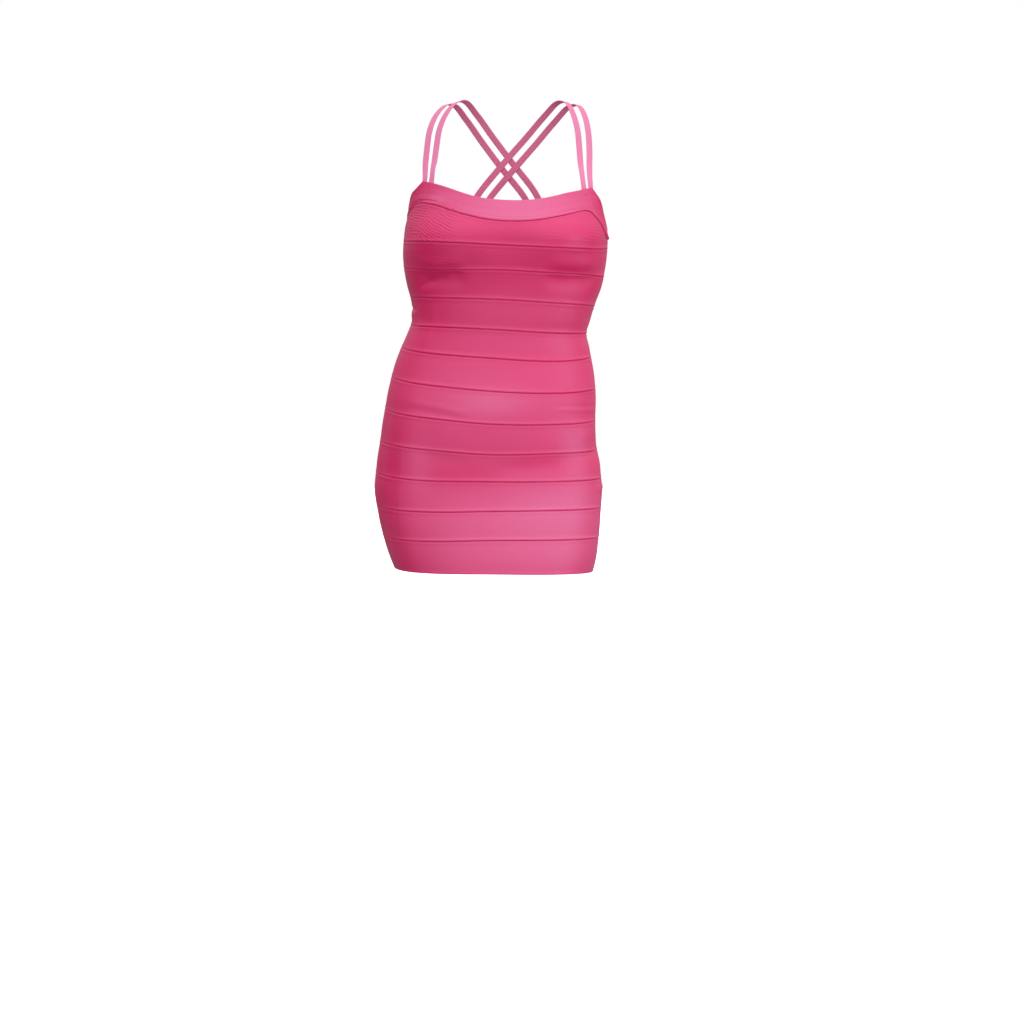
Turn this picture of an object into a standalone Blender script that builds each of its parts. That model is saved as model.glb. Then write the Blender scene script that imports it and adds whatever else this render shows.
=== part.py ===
"""Bodycon mini dress of stacked knit bands, in its worn form, with double straps that cross at the back.

Metres, +Z up. The front faces -Y and the wearer's left is at +X. The origin lies midway between the
shoulders, at the height where the straps rest on them. Angles go round the figure in degrees: 0 is
centre front, 90 the wearer's left side, 180 centre back and -90 the wearer's right side. The tables
are in millimetres, measured from the origin.
"""

from bisect import bisect_right
from collections import namedtuple
from math import atan2, cos, degrees, exp, radians, sin

import bmesh
import bpy
from mathutils import Vector

MM = 0.001

# Cloth
WALL = 1.9                 # knit wall of a band
LIP_WALL = 2.8             # lower edge of a band, which laps over the band below it
TUCK_WALL = 1.4            # upper edge of a band, which goes under the band above it
HEM_WALL = 2.3             # self-finished hem and neckline edge
EDGE_STRIP = 3.5           # height of the strip where an edge grows thicker or thinner
SEAM_GAP = 0.3             # between two pieces that are sewn together
SEAT_GAP = 0.4             # between the top band and a strap's end behind it
ROUNDNESS = 2.4            # exponent of the superellipse that each level section follows

# Straps
STRAP_WIDTH = 10.5
STRAP_WALL = 1.2
STRAP_TUCK = 12.0          # length of a strap's end behind the top band
STRAP_STATIONS = 56
BAND_REACH = 20.0          # height above the top band's edge where a strap still keeps inside its line

# Side seams, and the columns of each panel
LEFT_SEAM = 80.0
RIGHT_SEAM = -97.0
FINE_STEP = 4.0            # between the columns of the top band and band 1, which curve at the straps
COLUMN_STEP = 8.0          # and of the other bands

# Level sections of the inside of the dress: the centre leans over the wearer's right hip
Section = namedtuple("Section", "height centre half_width front back")
SECTIONS = (
    Section(-777, -28, 157, 133, 105),
    Section(-752, -30, 165.5, 133.5, 111),
    Section(-712, -34, 175, 132, 121),
    Section(-672, -37, 181, 128, 131),
    Section(-632, -39, 185, 123.5, 137),
    Section(-592, -39, 182, 123.5, 136),
    Section(-552, -39.5, 175.5, 128, 128),
    Section(-512, -37, 172, 130, 116),
    Section(-472, -33, 168.5, 127, 101),
    Section(-433, -30.5, 161.5, 119, 86),
    Section(-403, -28, 153.5, 115, 77),
    Section(-374, -24, 144.5, 115, 73),
    Section(-354, -18, 144, 118, 74),
    Section(-327, -14, 148.5, 122.5, 78),
    Section(-297, -12, 157.5, 129, 85),
    Section(-267, -12, 163, 138.5, 91),
    Section(-237, -11, 165, 145, 95),
    Section(-207, -9.5, 163.5, 147, 96),
    Section(-177, -8, 159.5, 137.5, 95),
    Section(-142, -6.5, 161, 121, 93),
    Section(-112, -6, 162, 112, 90),
)

# The cups: a soft rise on each side of centre front
CUP_RISE = 13.0
CUP_ANGLE = 35.0
CUP_HEIGHT = -229.0
CUP_ANGLE_SPREAD = 24.0
CUP_HEIGHT_SPREAD = 30.0

# Heights of the top band's upper edge and of the seam below it. The edge is the neckline between the
# two strap points, where it has corners, and runs round each armhole to the back
Level = namedtuple("Level", "angle height")
RIGHT_ARMHOLE = (
    Level(-180, -186),
    Level(-145, -188),
    Level(-115, -187),
    Level(-100, -181),
    Level(-90, -174),
    Level(-79, -164),
    Level(-73, -149.5),
    Level(-68, -143.5),
    Level(-64.5, -138),
    Level(-61, -131),
)
NECKLINE = (
    Level(-61, -131),
    Level(-52, -136),
    Level(-45.5, -140.5),
    Level(-37.5, -147),
    Level(-29.5, -153.3),
    Level(-21.5, -158.6),
    Level(-15.5, -161.3),
    Level(-6, -163.5),
    Level(2, -164.5),
    Level(17, -163.4),
    Level(32, -157.2),
    Level(39.5, -152.5),
    Level(47.5, -148.3),
    Level(59.5, -141.5),
)
LEFT_ARMHOLE = (
    Level(59.5, -141.5),
    Level(63, -150.5),
    Level(68, -162),
    Level(71, -172.5),
    Level(73.5, -183),
    Level(78.5, -198),
    Level(84, -205),
    Level(92, -208),
    Level(108, -206),
    Level(145, -194),
    Level(180, -186),
)
TOP_BAND_SEAM = (
    Level(-180, -212),
    Level(-145, -213),
    Level(-115, -207),
    Level(-100, -196),
    Level(-90, -187.5),
    Level(-79, -181),
    Level(-72, -174.5),
    Level(-66, -168.3),
    Level(-61, -166.2),
    Level(-56.5, -166.5),
    Level(-52, -168.2),
    Level(-45.5, -171.8),
    Level(-37.5, -178.2),
    Level(-29, -184.6),
    Level(-22, -189),
    Level(-15, -193),
    Level(-5, -196.5),
    Level(5, -197.4),
    Level(15, -196.6),
    Level(22, -194.4),
    Level(31, -189.9),
    Level(40, -184.8),
    Level(48, -180.2),
    Level(52.5, -179),
    Level(56, -181.5),
    Level(59.5, -188.5),
    Level(63.5, -197),
    Level(68.5, -208.3),
    Level(72, -216.5),
    Level(79, -221.5),
    Level(92, -223),
    Level(112, -221.5),
    Level(145, -216),
    Level(180, -212),
)

# Heights of the seams under bands 1 to 12, the last one being the hem
Seam = namedtuple("Seam", "right_side right_front centre_front left_front left_side centre_back")
SEAMS = (
    Seam(-226, -229, -235, -239.5, -238, -234),
    Seam(-268, -273, -274, -280.5, -284, -278),
    Seam(-316, -318, -321, -327, -331, -326),
    Seam(-363, -365, -369, -374.5, -375.5, -372),
    Seam(-397, -408, -415, -420, -413.5, -409),
    Seam(-445, -458, -467.5, -471, -465, -459),
    Seam(-497, -509.5, -519.5, -521, -517, -510),
    Seam(-550, -560.5, -568.5, -568, -566, -560),
    Seam(-602, -611, -612.3, -613, -612, -608),
    Seam(-657, -661.5, -660, -659.3, -660.5, -659),
    Seam(-706, -708.8, -706.2, -707, -709.5, -709),
    Seam(-760, -761.6, -761.5, -763.8, -767, -764),
)
SEAM_ANGLES = (-90, -45, 0, 45, 90, 180)

# The middle of each pair of straps above the top band, from front to back: its height and depth, its
# side for the pair that starts at the wearer's left and for the other pair, the direction away from
# the body as out_* (out_arm is towards the arm on the pair's own side), and for each pair the spread
# between the middles of its two straps
Route = namedtuple(
    "Route",
    "height depth left_pair right_pair out_arm out_depth out_height left_spread right_spread",
)
STRAP_ROUTE = (
    Route(-104, -58, 117.5, -132.5, 0.45, -0.87, 0.20, 16.5, 16.0),
    Route(-80, -47, 117, -130, 0.40, -0.82, 0.38, 18.0, 16.8),
    Route(-44, -33, 114, -124.5, 0.36, -0.68, 0.64, 19.5, 17.8),
    Route(-23, -22, 109, -116, 0.30, -0.50, 0.80, 21.0, 18.8),
    Route(-3, -4, 98.5, -99.5, 0.22, -0.12, 0.97, 21.5, 19.0),
    Route(-2, 14, 86, -86.5, 0.18, 0.30, 0.93, 21.0, 19.5),
    Route(-22, 40, 64, -67, 0.12, 0.72, 0.68, 20.0, 19.5),
    Route(-58, 62, 32, -40, 0.05, 0.90, 0.42, 19.5, 19.5),
    Route(-98, 76, -4, -9, 0.00, 0.97, 0.25, 19.5, 19.5),
    Route(-140, 86, -40, 25, -0.20, 0.97, 0.08, 19.5, 19.5),
)
LEFT_POINT = 56.6          # angle of the middle of each pair at the front
RIGHT_POINT = -57.8
BACK_POINT = 143.0         # and at the back, on the other side of the body
BACK_END = 137.5           # angle of its slanting end behind the top band
FRONT_SPREAD = 15.5
BACK_SPREAD = 20.0
CROSSING_LIFT = 1.7        # the right pair lies outside the left pair where they cross

PINK_KNIT = (0.62, 0.045, 0.16, 1.0)
PALE_ELASTIC = (0.85, 0.22, 0.42, 1.0)


def smooth(knots, values, place):
    """Value at a place on the smooth curve through values at rising knots."""
    last = len(knots) - 1
    place = min(max(place, knots[0]), knots[-1])
    low = min(bisect_right(knots, place) - 1, last - 1)

    def slope(index):
        before = max(index - 1, 0)
        after = min(index + 1, last)
        if before == index or after == index:
            return (values[after] - values[before]) / (knots[after] - knots[before])
        left = knots[index] - knots[before]
        right = knots[after] - knots[index]
        left_slope = (values[index] - values[before]) / left
        right_slope = (values[after] - values[index]) / right
        return (left_slope * right + right_slope * left) / (left + right)

    span = knots[low + 1] - knots[low]
    t = (place - knots[low]) / span
    return (
        (2 * t**3 - 3 * t**2 + 1) * values[low]
        + (t**3 - 2 * t**2 + t) * span * slope(low)
        + (3 * t**2 - 2 * t**3) * values[low + 1]
        + (t**3 - t**2) * span * slope(low + 1)
    )


def column(table, name):
    """One named column of a table."""
    return [getattr(row, name) for row in table]


SECTION_HEIGHTS = column(SECTIONS, "height")
SECTION_SIZES = {name: column(SECTIONS, name) for name in ("centre", "half_width", "front", "back")}


def wrap(angle):
    """The same angle between -180 and 180."""
    return (angle + 180.0) % 360.0 - 180.0


def on_figure(angle, height):
    """Point on the inside of the cloth, in millimetres."""
    size = {name: smooth(SECTION_HEIGHTS, SECTION_SIZES[name], height) for name in SECTION_SIZES}
    side = sin(radians(angle))
    ahead = cos(radians(angle))
    depth = size["front"] if ahead > 0 else size["back"]
    terms = abs(side / size["half_width"]) ** ROUNDNESS + abs(ahead / depth) ** ROUNDNESS
    radius = terms ** (-1 / ROUNDNESS)
    above_cup = (height - CUP_HEIGHT) / CUP_HEIGHT_SPREAD
    for cup_angle in (-CUP_ANGLE, CUP_ANGLE):
        from_cup = wrap(angle - cup_angle) / CUP_ANGLE_SPREAD
        radius += CUP_RISE * exp(-(from_cup**2) - above_cup**2)
    return Vector((size["centre"] + radius * side, -radius * ahead, height))


def out_of_figure(angle, height):
    """Unit vector out of the cloth at a point of the figure."""
    step_angle = 0.5
    step_height = 1.0
    along = on_figure(angle + step_angle, height) - on_figure(angle - step_angle, height)
    up = on_figure(angle, height + step_height) - on_figure(angle, height - step_height)
    return along.cross(up).normalized()


def level_at(table, angle):
    """Height on a table of levels at an angle."""
    return smooth(column(table, "angle"), column(table, "height"), wrap(angle))


def top_edge(angle):
    """Height of the top band's upper edge at an angle."""
    if wrap(angle) < NECKLINE[0].angle:
        return level_at(RIGHT_ARMHOLE, angle)
    if wrap(angle) > NECKLINE[-1].angle:
        return level_at(LEFT_ARMHOLE, angle)
    return level_at(NECKLINE, angle)


def seam_height(seam, angle):
    """Height of a seam between two bands at an angle."""
    knots = [-180] + list(SEAM_ANGLES)
    values = [seam.centre_back] + list(seam)
    knots = [-270] + knots + [270]
    values = [seam.left_side] + values + [seam.right_side]
    return smooth(knots, values, wrap(angle))


def edge_heights(band, angle):
    """Heights of the lower and upper edge of a band at an angle; band 0 is the top band."""
    half_gap = SEAM_GAP / 2
    if band == 0:
        return level_at(TOP_BAND_SEAM, angle) + half_gap, top_edge(angle)
    over = level_at(TOP_BAND_SEAM, angle) if band == 1 else seam_height(SEAMS[band - 2], angle)
    under = seam_height(SEAMS[band - 1], angle)
    last_gap = 0.0 if band == len(SEAMS) else half_gap
    return under + last_gap, over - half_gap


def walls(band):
    """Thickness of a band's wall on its five rows, from the lower edge to the upper edge."""
    lower = HEM_WALL if band == len(SEAMS) else LIP_WALL
    upper = HEM_WALL if band == 0 else TUCK_WALL
    return lower, WALL, WALL, WALL, upper


def even_steps(start, end, step):
    """Angles from start to end, evenly spaced, about one step apart."""
    count = max(round(abs(end - start) / step), 1)
    return [start + (end - start) * i / count for i in range(count + 1)]


def panel_angles(start, end, step):
    """Column angles of a panel, with a column at each strap point."""
    corners = (NECKLINE[0].angle, NECKLINE[-1].angle)
    stops = [start] + [angle for angle in corners if start < angle < end] + [end]
    angles = [start]
    for here, there in zip(stops, stops[1:]):
        angles += even_steps(here, there, step)[1:]
    return angles


def make_material(name, colour, roughness):
    """A plain surface of one colour."""
    material = bpy.data.materials.new(name)
    material.use_nodes = True
    shader = material.node_tree.nodes["Principled BSDF"]
    shader.inputs["Base Color"].default_value = colour
    shader.inputs["Roughness"].default_value = roughness
    shader.inputs["Metallic"].default_value = 0.0
    return material


def make_shell(name, points, wall_rows, material, collection):
    """A cloth panel: a grid of inside points, given rows of wall thickness, made solid outwards.

    points[row][column] are in millimetres, and wall_rows[row] is the wall on that row.
    """
    rows = len(points)
    columns = len(points[0])
    shape = bmesh.new()
    bmesh.ops.create_grid(shape, x_segments=columns - 1, y_segments=rows - 1, size=0.5)
    walls_layer = shape.verts.layers.deform.verify()
    thickest = max(wall_rows)
    for vertex in shape.verts:
        place_column = round((vertex.co.x + 0.5) * (columns - 1))
        place_row = round((vertex.co.y + 0.5) * (rows - 1))
        vertex.co = points[place_row][place_column] * MM
        vertex[walls_layer][0] = wall_rows[place_row] / thickest
    mesh = bpy.data.meshes.new(name)
    shape.to_mesh(mesh)
    shape.free()
    mesh.shade_smooth()
    mesh.materials.append(material)
    panel = bpy.data.objects.new(name, mesh)
    panel.vertex_groups.new(name="wall")
    collection.objects.link(panel)
    solid = panel.modifiers.new("Wall", "SOLIDIFY")
    solid.thickness = thickest * MM
    solid.offset = 1.0
    solid.use_even_offset = True
    solid.vertex_group = "wall"
    return panel


def make_band(name, band, angles, material, collection):
    """A front or back panel of one band."""
    points = [[], [], [], [], []]
    for angle in angles:
        low, high = edge_heights(band, angle)
        levels = (low, low + EDGE_STRIP, (low + high) / 2, high - EDGE_STRIP, high)
        for row, level in zip(points, levels):
            row.append(on_figure(angle, level))
    return make_shell(name, points, walls(band), material, collection)


def behind_band(angle, height):
    """Inner side of a strap that lies against the inside of the top band, and the way out."""
    out = out_of_figure(angle, height)
    return on_figure(angle, height) - out * (SEAT_GAP + STRAP_WALL), out


def kept_inside(point):
    """A strap's point, moved against the top band where the band covers it or is close below it."""
    centre = smooth(SECTION_HEIGHTS, SECTION_SIZES["centre"], point.z)
    angle = degrees(atan2(point.x - centre, -point.y))
    edge = top_edge(angle)
    if point.z > edge + BAND_REACH:
        return point
    seat, out = behind_band(angle, point.z)
    proud = (point - seat).dot(out)
    if point.z < edge or proud > 0:
        return seat
    return point


def strap_stations(side, lift):
    """Knots of the middle of a pair of straps: place, outward direction and spread.

    side is 1 for the pair that starts at the wearer's left, -1 for the other; lift moves the
    crossing stretch outwards.
    """
    places, outs, spreads = [], [], []
    front = LEFT_POINT if side > 0 else RIGHT_POINT
    back = -side * BACK_POINT
    front_edge = top_edge(front)
    back_edge = top_edge(back)
    for height in (front_edge - STRAP_TUCK, front_edge - STRAP_TUCK / 2, front_edge):
        place, out = behind_band(front, height)
        places.append(place)
        outs.append(out)
        spreads.append(FRONT_SPREAD)
    for knot in STRAP_ROUTE:
        out = Vector((side * knot.out_arm, knot.out_depth, knot.out_height)).normalized()
        across = knot.left_pair if side > 0 else knot.right_pair
        spread = knot.left_spread if side > 0 else knot.right_spread
        raised = lift if knot.height < 0 < knot.depth else 0.0
        places.append(Vector((across, knot.depth, knot.height)) + out * raised)
        outs.append(out)
        spreads.append(spread)
    for share in (0.0, 0.5, 1.0):
        angle = -side * (BACK_POINT + (BACK_END - BACK_POINT) * share)
        place, out = behind_band(angle, back_edge - STRAP_TUCK * share)
        places.append(place)
        outs.append(out)
        spreads.append(BACK_SPREAD)
    return places, outs, spreads


def make_strap(name, side, which, lift, material, collection):
    """One strap of a pair, from behind the front of the top band to behind its back.

    which is 1 for the strap nearer the arm at the front, -1 for the one nearer the neck.
    """
    places, outs, spreads = strap_stations(side, lift)
    knots = [0.0]
    for here, there in zip(places, places[1:]):
        knots.append(knots[-1] + (there - here).length)

    def at(values, place):
        return Vector(smooth(knots, [value[axis] for value in values], place) for axis in range(3))

    edges = [[], []]
    for station in range(STRAP_STATIONS):
        place = knots[-1] * station / (STRAP_STATIONS - 1)
        ahead = at(places, min(place + 1, knots[-1])) - at(places, max(place - 1, 0))
        out = at(outs, place)
        across = ahead.cross(out).normalized()
        middle = at(places, place) + across * side * which * smooth(knots, spreads, place) / 2
        for row, sign in zip(edges, (1, -1)):
            row.append(kept_inside(middle + across * sign * STRAP_WIDTH / 2))
    return make_shell(name, edges, (STRAP_WALL, STRAP_WALL), material, collection)


def clear_scene():
    """Remove what Blender starts with."""
    for thing in list(bpy.data.objects):
        bpy.data.objects.remove(thing, do_unlink=True)


def main():
    clear_scene()
    collection = bpy.data.collections.new("bodycon_dress")
    bpy.context.scene.collection.children.link(collection)
    knit = make_material("pink_knit", PINK_KNIT, 0.6)
    elastic = make_material("pale_elastic", PALE_ELASTIC, 0.7)

    edge_gap = degrees(SEAM_GAP / 2 / SECTIONS[-1].half_width)
    for band in range(len(SEAMS) + 1):
        name = f"band_{band:02d}" if band else "top_band"
        step = FINE_STEP if band < 2 else COLUMN_STEP
        front = panel_angles(RIGHT_SEAM + edge_gap, LEFT_SEAM - edge_gap, step)
        back = panel_angles(LEFT_SEAM + edge_gap, RIGHT_SEAM + 360 - edge_gap, step)
        make_band(f"{name}_front", band, front, knit, collection)
        make_band(f"{name}_back", band, back, knit, collection)

    for side_name, side, lift in (("left", 1, 0.0), ("right", -1, CROSSING_LIFT)):
        for strap_name, which in (("outer", 1), ("inner", -1)):
            name = f"strap_{side_name}_{strap_name}"
            make_strap(name, side, which, lift, elastic, collection)


main()
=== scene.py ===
"""Looks of the banded knit dress: its bands, straps and sewing, soft studio light and the camera.

The tables of the dress are in millimetres from the origin and in degrees round the figure, as in
the part's own source: 0 is centre front, 90 the wearer's left side (+X), 180 centre back and -90
the wearer's right side. Those of the materials and the studio are in metres.
"""

from collections import namedtuple
from math import cos, pi, radians, sin

import bpy
import numpy as np
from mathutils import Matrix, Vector


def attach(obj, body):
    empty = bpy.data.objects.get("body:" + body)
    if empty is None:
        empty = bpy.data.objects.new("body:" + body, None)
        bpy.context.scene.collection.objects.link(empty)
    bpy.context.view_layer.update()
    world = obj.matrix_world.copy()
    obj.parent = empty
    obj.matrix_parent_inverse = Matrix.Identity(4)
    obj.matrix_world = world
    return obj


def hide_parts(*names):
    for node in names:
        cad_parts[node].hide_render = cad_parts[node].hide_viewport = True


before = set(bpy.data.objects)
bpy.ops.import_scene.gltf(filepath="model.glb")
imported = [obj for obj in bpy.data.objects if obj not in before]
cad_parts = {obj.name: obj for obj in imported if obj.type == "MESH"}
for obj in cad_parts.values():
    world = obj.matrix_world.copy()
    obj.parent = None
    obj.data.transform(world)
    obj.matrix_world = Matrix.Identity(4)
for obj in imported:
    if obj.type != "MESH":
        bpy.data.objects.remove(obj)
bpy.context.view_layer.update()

MM = 0.001
BODY = "root"

# ------------------------------------------------ sizes that the part's source gives

WALL = 1.9                 # knit wall of a band
ROUNDNESS = 2.4            # exponent of the superellipse that each level section follows
LEFT_SEAM = 80.0
RIGHT_SEAM = -97.0
STRAP_WIDTH = 10.5
STRAP_WALL = 1.2
STRAP_TUCK = 12.0          # how far a strap's end goes down behind the top band
SEAT_GAP = 0.4             # between a strap's end and the band
BAND_REACH = 20.0          # height over the band's edge up to which a strap stays inside its line

# Level sections of the figure: where each is, its half width and its depths ahead and behind
Section = namedtuple("Section", "height centre half_width front back")
SECTIONS = (
    Section(-777, -28, 157, 133, 105),
    Section(-752, -30, 165.5, 133.5, 111),
    Section(-712, -34, 175, 132, 121),
    Section(-672, -37, 181, 128, 131),
    Section(-632, -39, 185, 123.5, 137),
    Section(-592, -39, 182, 123.5, 136),
    Section(-552, -39.5, 175.5, 128, 128),
    Section(-512, -37, 172, 130, 116),
    Section(-472, -33, 168.5, 127, 101),
    Section(-433, -30.5, 161.5, 119, 86),
    Section(-403, -28, 153.5, 115, 77),
    Section(-374, -24, 144.5, 115, 73),
    Section(-354, -18, 144, 118, 74),
    Section(-327, -14, 148.5, 122.5, 78),
    Section(-297, -12, 157.5, 129, 85),
    Section(-267, -12, 163, 138.5, 91),
    Section(-237, -11, 165, 145, 95),
    Section(-207, -9.5, 163.5, 147, 96),
    Section(-177, -8, 159.5, 137.5, 95),
    Section(-142, -6.5, 161, 121, 93),
    Section(-112, -6, 162, 112, 90),
)
CUP_RISE = 13.0
CUP_ANGLE = 35.0
CUP_HEIGHT = -229.0
CUP_ANGLE_SPREAD = 24.0
CUP_HEIGHT_SPREAD = 30.0
NEAR_ANGLE = 0.5           # steps over which the way out of the cloth is taken
NEAR_HEIGHT = 1.0

# Heights of the edges and of the top band's seam at angles round the figure
Level = namedtuple("Level", "angle height")
RIGHT_ARMHOLE = (
    Level(-180, -186),
    Level(-145, -188),
    Level(-115, -187),
    Level(-100, -181),
    Level(-90, -174),
    Level(-79, -164),
    Level(-73, -149.5),
    Level(-68, -143.5),
    Level(-64.5, -138),
    Level(-61, -131),
)
NECKLINE = (
    Level(-61, -131),
    Level(-52, -136),
    Level(-45.5, -140.5),
    Level(-37.5, -147),
    Level(-29.5, -153.3),
    Level(-21.5, -158.6),
    Level(-15.5, -161.3),
    Level(-6, -163.5),
    Level(2, -164.5),
    Level(17, -163.4),
    Level(32, -157.2),
    Level(39.5, -152.5),
    Level(47.5, -148.3),
    Level(59.5, -141.5),
)
LEFT_ARMHOLE = (
    Level(59.5, -141.5),
    Level(63, -150.5),
    Level(68, -162),
    Level(71, -172.5),
    Level(73.5, -183),
    Level(78.5, -198),
    Level(84, -205),
    Level(92, -208),
    Level(108, -206),
    Level(145, -194),
    Level(180, -186),
)
TOP_BAND_SEAM = (
    Level(-180, -212),
    Level(-145, -213),
    Level(-115, -207),
    Level(-100, -196),
    Level(-90, -187.5),
    Level(-79, -181),
    Level(-72, -174.5),
    Level(-66, -168.3),
    Level(-61, -166.2),
    Level(-56.5, -166.5),
    Level(-52, -168.2),
    Level(-45.5, -171.8),
    Level(-37.5, -178.2),
    Level(-29, -184.6),
    Level(-22, -189),
    Level(-15, -193),
    Level(-5, -196.5),
    Level(5, -197.4),
    Level(15, -196.6),
    Level(22, -194.4),
    Level(31, -189.9),
    Level(40, -184.8),
    Level(48, -180.2),
    Level(52.5, -179),
    Level(56, -181.5),
    Level(59.5, -188.5),
    Level(63.5, -197),
    Level(68.5, -208.3),
    Level(72, -216.5),
    Level(79, -221.5),
    Level(92, -223),
    Level(112, -221.5),
    Level(145, -216),
    Level(180, -212),
)
# and of the seams between the bands, at SEAM_ANGLES
Seam = namedtuple("Seam", "right_side right_front centre_front left_front left_side centre_back")
SEAMS = (
    Seam(-226, -229, -235, -239.5, -238, -234),
    Seam(-268, -273, -274, -280.5, -284, -278),
    Seam(-316, -318, -321, -327, -331, -326),
    Seam(-363, -365, -369, -374.5, -375.5, -372),
    Seam(-397, -408, -415, -420, -413.5, -409),
    Seam(-445, -458, -467.5, -471, -465, -459),
    Seam(-497, -509.5, -519.5, -521, -517, -510),
    Seam(-550, -560.5, -568.5, -568, -566, -560),
    Seam(-602, -611, -612.3, -613, -612, -608),
    Seam(-657, -661.5, -660, -659.3, -660.5, -659),
    Seam(-706, -708.8, -706.2, -707, -709.5, -709),
    Seam(-760, -761.6, -761.5, -763.8, -767, -764),
)
SEAM_ANGLES = (-90, -45, 0, 45, 90, 180)
HEM = len(SEAMS)

# Knots of the middle lines of the two pairs of straps: their height, depth and place across, the
# way out of the cloth, and how far the two straps of a pair are apart
Route = namedtuple(
    "Route",
    "height depth left_pair right_pair out_arm out_depth out_height left_spread right_spread",
)
STRAP_ROUTE = (
    Route(-104, -58, 117.5, -132.5, 0.45, -0.87, 0.20, 16.5, 16.0),
    Route(-80, -47, 117, -130, 0.40, -0.82, 0.38, 18.0, 16.8),
    Route(-44, -33, 114, -124.5, 0.36, -0.68, 0.64, 19.5, 17.8),
    Route(-23, -22, 109, -116, 0.30, -0.50, 0.80, 21.0, 18.8),
    Route(-3, -4, 98.5, -99.5, 0.22, -0.12, 0.97, 21.5, 19.0),
    Route(-2, 14, 86, -86.5, 0.18, 0.30, 0.93, 21.0, 19.5),
    Route(-22, 40, 64, -67, 0.12, 0.72, 0.68, 20.0, 19.5),
    Route(-58, 62, 32, -40, 0.05, 0.90, 0.42, 19.5, 19.5),
    Route(-98, 76, -4, -9, 0.00, 0.97, 0.25, 19.5, 19.5),
    Route(-140, 86, -40, 25, -0.20, 0.97, 0.08, 19.5, 19.5),
)
LEFT_POINT = 56.6          # where a pair leaves the top band's edge in front
RIGHT_POINT = -57.8
BACK_POINT = 143.0         # where it meets the edge on the other side of the back
BACK_END = 137.5           # and where it ends behind the band
FRONT_SPREAD = 15.5
BACK_SPREAD = 20.0
CROSSING_LIFT = 1.7        # how far the right pair passes over the left pair

# ------------------------------------------------ edges of the knit, finer than the solids

# A panel's wall in section, from the inside of its lower edge, under it, up the outside, over the
# upper edge and down the inside. rise is the height over the seam under the panel, and in the
# tables of upper edges the depth below that edge; out is the distance from the inside of the cloth
Fold = namedtuple("Fold", "rise out")
# The lower edge, a soft roll that laps over the band below
LIP = (
    Fold(5.0, 0.0), Fold(3.6, 0.1), Fold(3.0, 0.55), Fold(2.7, 1.0), Fold(1.5, 1.12),
    Fold(0.3, 1.15), Fold(-0.25, 1.3), Fold(-0.5, 1.65), Fold(-0.5, 2.05), Fold(-0.2, 2.45),
    Fold(0.4, 2.78), Fold(1.0, 3.04), Fold(1.6, 3.04), Fold(2.3, 2.8), Fold(3.0, 2.46),
    Fold(3.9, 2.16), Fold(5.2, 2.02), Fold(7.0, 1.95),
)
# The top band's lower edge, a wider double roll with a fold line above it
NECK_LIP = (
    Fold(5.0, 0.0), Fold(3.6, 0.1), Fold(3.0, 0.55), Fold(2.7, 1.0), Fold(1.5, 1.12),
    Fold(0.3, 1.15), Fold(-0.25, 1.3), Fold(-0.5, 1.65), Fold(-0.4, 2.05), Fold(0.0, 2.45),
    Fold(0.7, 2.8), Fold(1.6, 3.02), Fold(2.5, 3.06), Fold(3.2, 2.96), Fold(3.8, 2.7),
    Fold(4.2, 2.44), Fold(4.5, 2.38), Fold(4.8, 2.46), Fold(5.4, 2.62), Fold(6.2, 2.6),
    Fold(7.6, 2.42), Fold(9.2, 2.26), Fold(11.0, 2.12), Fold(13.0, 2.02),
)
# The hem, a clean self-finished edge
HEM_EDGE = (
    Fold(5.0, 0.0), Fold(2.4, 0.02), Fold(1.2, 0.1), Fold(0.5, 0.35), Fold(0.12, 0.75),
    Fold(0.0, 1.15), Fold(0.08, 1.55), Fold(0.4, 1.95), Fold(0.9, 2.18), Fold(1.6, 2.3),
    Fold(2.6, 2.26), Fold(3.8, 2.1), Fold(5.4, 1.95),
)
# The upper edge, which goes under the band above
TUCK = (
    Fold(6.8, 1.96), Fold(5.4, 2.1), Fold(4.2, 2.24), Fold(3.2, 2.22), Fold(2.4, 1.96),
    Fold(1.7, 1.46), Fold(1.1, 1.02), Fold(0.5, 0.8), Fold(-0.6, 0.72), Fold(-2.0, 0.7),
    Fold(-2.25, 0.5), Fold(-2.25, 0.25), Fold(-2.0, 0.0), Fold(1.0, 0.0), Fold(5.0, 0.0),
)
# The neckline and armholes, a rolled edge
TOP_EDGE = (
    Fold(7.0, 1.96), Fold(5.2, 1.98), Fold(4.0, 2.02), Fold(3.0, 2.08), Fold(2.0, 2.12),
    Fold(1.2, 2.1), Fold(0.6, 1.94), Fold(0.15, 1.6), Fold(0.0, 1.15), Fold(0.1, 0.7),
    Fold(0.4, 0.32), Fold(1.0, 0.1), Fold(2.0, 0.0), Fold(5.0, 0.0),
)
CROWN = 0.35               # each band swells this much between its seams
NECK_CROWN = 0.1           # and the top band
PLAIN_ROOM = 3.0           # least height of plain cloth; where there is less, the edges narrow
INNER_STEP = 7.0           # between the rows of the inside
SIDE_DIP = 0.55            # groove along the side seams
SIDE_DIP_WIDTH = 1.3
SIDE_COLUMNS = (0.35, 0.8, 1.4, 2.2, 3.4)   # columns beside a side seam, measured from it
ARC = 2.8                  # about the length of one degree round the figure
HUG = 0.05                 # half of the gap at the side seams
SHARP_ANGLE = radians(60)  # sharper edges aren't smoothed

# Row and column steps of a panel's outside: fine where the knit is rippled
Weave = namedtuple("Weave", "column_step row_step")
COARSE = Weave(2.6, 2.6)
MEDIUM = Weave(1.8, 2.2)
FINE = Weave(1.3, 0.8)
RIPPLED_BANDS = (1, 2)

# ------------------------------------------------ relief of the cloth

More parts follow.
